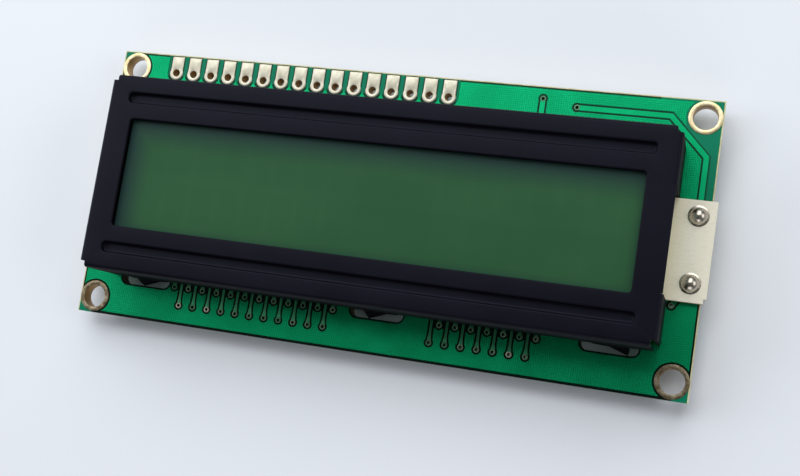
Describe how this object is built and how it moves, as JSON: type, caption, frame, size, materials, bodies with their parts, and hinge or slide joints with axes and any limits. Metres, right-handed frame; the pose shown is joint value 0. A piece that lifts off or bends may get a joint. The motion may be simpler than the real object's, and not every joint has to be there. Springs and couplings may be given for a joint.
{
  "type": "character lcd module",
  "caption": "Two-line character display module: glass cell and LED backlight under a folded black steel bezel on a green printed board with mounting holes and a row of solder lands.",
  "frame": {"origin": "centre of the four mounting holes, on the board's front face", "axes": "+X along the display to the right, +Y towards the row of solder lands, +Z out of the display's face"},
  "size_m": [0.0806, 0.036, 0.0122],
  "materials": {
    "solder_mask_board": "glass-epoxy board under glossy green mask",
    "masked_copper": "hatched copper under glossy green mask",
    "tinned_copper": "tin-coated copper, satin",
    "plated_rim": "tinned ring, pale gold",
    "gold_finger": "thin gold plating",
    "black_steel": "satin black coat on steel",
    "polarizer_front": "dark green film, smooth",
    "cell_glass": "clear float glass",
    "cell_resin": "cured resin",
    "crystal_fill": "liquid crystal layer",
    "polarizer_rear": "polarizing film, matte behind",
    "elastomer": "layered conductive silicone",
    "white_plastic": "white moulded plastic",
    "diffuser_plastic": "milky acrylic",
    "cream_board": "cream-masked board",
    "lamp_resin": "lamp package resin",
    "solder": "bright solder",
    "pin_metal": "tinned wire",
    "black_epoxy": "black potting epoxy",
    "silicon": "bare silicon",
    "resistor_ceramic": "dark coat on ceramic",
    "capacitor_ceramic": "brown ceramic"
  },
  "bodies": {
    "root": {"main_board": "solder_mask_board", "front_copper": "masked_copper", "rear_copper": "masked_copper", "mounting_hole_rims": "plated_rim", "header_lands": "tinned_copper", "via_lands": "tinned_copper", "pin_lands": "tinned_copper", "contact_fingers": "gold_finger", "bezel": "black_steel", "front_polarizer": "polarizer_front", "front_glass": "cell_glass", "cell_seal": "cell_resin", "liquid_crystal": "crystal_fill", "fill_port_plug": "cell_resin", "rear_glass": "cell_glass", "rear_polarizer": "polarizer_rear", "upper_zebra_strip": "elastomer", "lower_zebra_strip": "elastomer", "diffuser": "diffuser_plastic", "reflector_frame": "white_plastic", "led_packages": "lamp_resin", "backlight_board": "cream_board", "backlight_pins": "pin_metal", "tongue_solder_domes": "solder", "rear_pin_solder": "solder", "controller_blob": "black_epoxy", "controller_die": "silicon", "driver_blob": "black_epoxy", "driver_die": "silicon", "chip_resistor_bodies": "resistor_ceramic", "chip_resistor_terminals": "solder", "chip_capacitor_bodies": "capacitor_ceramic", "chip_capacitor_terminals": "solder", "chip_solder": "solder"}
  },
  "joints": []
}
